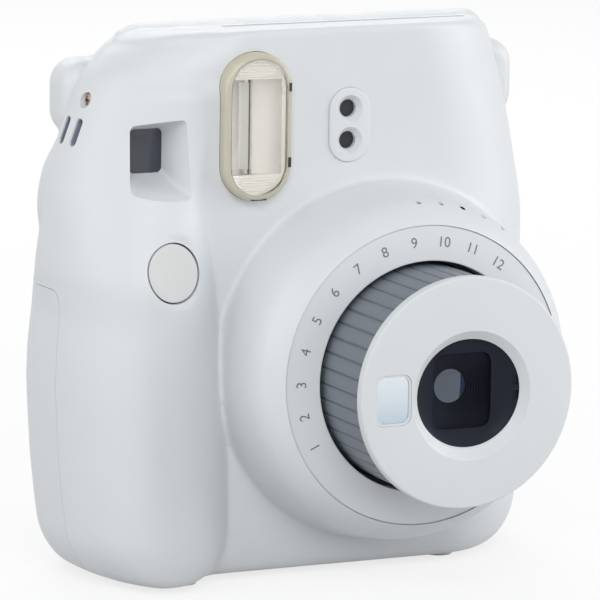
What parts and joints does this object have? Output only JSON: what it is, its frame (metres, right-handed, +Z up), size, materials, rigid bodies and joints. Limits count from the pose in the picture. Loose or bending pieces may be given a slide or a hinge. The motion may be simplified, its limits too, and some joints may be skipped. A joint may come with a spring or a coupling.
{
  "type": "instant camera",
  "caption": "Compact film camera with a sliding lens barrel, round brightness dial, side grip, flash, finder, swinging film door and film exit slot",
  "frame": {"origin": "centre of the footprint of the whole camera with its lens extended, on the standing plane", "axes": "+X right seen from the front, -Y the way the lens looks, +Z up"},
  "size_m": [0.1161, 0.0841, 0.1183],
  "materials": {
    "shell_plastic": "satin, pale cool white",
    "button_plastic": "satin, slightly warm grey white",
    "barrel_plastic": "matt grey with fine ribs along the barrel",
    "dark_plastic": "matt black",
    "film_card": "white film frames",
    "board": "green solder mask",
    "steel": "bright steel",
    "motor_can": "drawn steel can",
    "gear_plastic": "natural acetal",
    "capacitor_sleeve": "black shrink sleeve",
    "bright_metal": "polished reflector",
    "flash_clear": "clear, slightly yellow",
    "tube_glass": "clear tube",
    "clear_glass": "clear window",
    "window_clear": "clear window",
    "lens_glass": "coated lens",
    "mirror_silver": "small convex mirror",
    "cell_sleeve": "plain sleeved cell",
    "nickel": "nickel plated",
    "lamp_clear": "frosted light guide"
  },
  "bodies": {
    "camera_body": {"front_shell": "shell_plastic", "rear_shell": "shell_plastic", "sensor_bezel": "shell_plastic", "chassis": "dark_plastic", "battery_tray": "dark_plastic", "finder_tube": "dark_plastic", "film_pack": "dark_plastic", "switch_bracket": "dark_plastic", "power_switch": "dark_plastic", "shutter_switch": "dark_plastic", "light_sensors": "dark_plastic", "film_stack": "film_card", "main_board": "board", "sensor_board": "board", "hinge_pin": "steel", "case_screws": "steel", "drive_motor": "motor_can", "flash_capacitor": "capacitor_sleeve", "flash_reflector": "bright_metal", "flash_window": "flash_clear", "flash_tube": "tube_glass", "finder_front_glass": "clear_glass", "finder_eyepiece": "clear_glass", "counter_window": "window_clear", "battery_cells": "cell_sleeve", "battery_contacts": "nickel", "indicator_lamps": "lamp_clear"},
    "barrel": {"barrel_tube": "barrel_plastic", "front_cap": "shell_plastic", "selfie_mirror": "mirror_silver", "lens_mask": "dark_plastic", "lens_baffle": "dark_plastic", "front_lens": "lens_glass", "rear_lens": "lens_glass", "shutter_unit": "dark_plastic"},
    "left_leaf_body": {"left_leaf": "dark_plastic"},
    "right_leaf_body": {"right_leaf": "dark_plastic"},
    "dial": {"brightness_dial": "shell_plastic"},
    "shutter_key": {"shutter_button": "button_plastic"},
    "power_key": {"power_button": "button_plastic"},
    "door": {"back_door": "shell_plastic", "pack_window": "window_clear", "pressure_springs": "steel"},
    "latch": {"door_latch": "button_plastic"},
    "battery_lid": {"battery_cover": "shell_plastic"},
    "roller_front": {"front_roller": "steel"},
    "roller_rear": {"rear_roller": "steel"},
    "idler": {"idler_gear": "gear_plastic"},
    "pinion": {"pinion_gear": "gear_plastic"},
    "counter": {"counter_dial": "dark_plastic"}
  },
  "joints": [
    {"name": "barrel_slide", "type": "slide", "parent": "camera_body", "child": "barrel", "axis": [0, 1, 0], "range_m": [0, 0.0158], "stiffness_N_per_m": 40},
    {"name": "left_leaf_slide", "type": "slide", "parent": "barrel", "child": "left_leaf_body", "axis": [1, 0, 0], "range_m": [0, 0.0076]},
    {"name": "right_leaf_slide", "type": "slide", "parent": "barrel", "child": "right_leaf_body", "axis": [-1, 0, 0], "range_m": [0, 0.0076]},
    {"name": "dial_turn", "type": "hinge", "parent": "camera_body", "child": "dial", "pos_m": [0.0133, -0.019, 0.0462], "axis": [0, 1, 0], "range_deg": [-17, 17]},
    {"name": "shutter_press", "type": "slide", "parent": "camera_body", "child": "shutter_key", "axis": [0, 1, 0], "range_m": [0, 0.0015], "stiffness_N_per_m": 500},
    {"name": "power_press", "type": "slide", "parent": "camera_body", "child": "power_key", "axis": [-1, 0, 0], "range_m": [0, 0.0012], "stiffness_N_per_m": 400},
    {"name": "door_hinge", "type": "hinge", "parent": "camera_body", "child": "door", "pos_m": [0.053, 0.037, 0.052], "axis": [0, 0, 1], "range_deg": [-100, 0]},
    {"name": "latch_slide", "type": "slide", "parent": "door", "child": "latch", "axis": [0, 0, 1], "range_m": [0, 0.003]},
    {"name": "battery_cover_slide", "type": "slide", "parent": "camera_body", "child": "battery_lid", "axis": [-1, 0, 0], "range_m": [0, 0.016]},
    {"name": "roller_turn", "type": "hinge", "parent": "camera_body", "child": "roller_front", "pos_m": [0.0133, 0.0154, 0.1036], "axis": [1, 0, 0], "continuous": true},
    {"name": "rear_roller_turn", "type": "hinge", "parent": "camera_body", "child": "roller_rear", "pos_m": [0.0133, 0.0238, 0.1036], "axis": [1, 0, 0], "continuous": true},
    {"name": "idler_turn", "type": "hinge", "parent": "camera_body", "child": "idler", "pos_m": [-0.0224, 0.01288, 0.09125], "axis": [1, 0, 0], "continuous": true},
    {"name": "pinion_turn", "type": "hinge", "parent": "camera_body", "child": "pinion", "pos_m": [-0.0224, 0.0072, 0.0808], "axis": [1, 0, 0], "continuous": true},
    {"name": "counter_turn", "type": "hinge", "parent": "camera_body", "child": "counter", "pos_m": [-0.031, 0.038, 0.0765], "axis": [0, 1, 0], "continuous": true}
  ],
  "couplings": [
    {"joint": "left_leaf_slide", "follows": "barrel_slide", "ratio": 0.48101},
    {"joint": "right_leaf_slide", "follows": "barrel_slide", "ratio": 0.48101},
    {"joint": "rear_roller_turn", "follows": "roller_turn", "ratio": -1},
    {"joint": "idler_turn", "follows": "roller_turn", "ratio": -0.5},
    {"joint": "pinion_turn", "follows": "roller_turn", "ratio": 1.2}
  ]
}
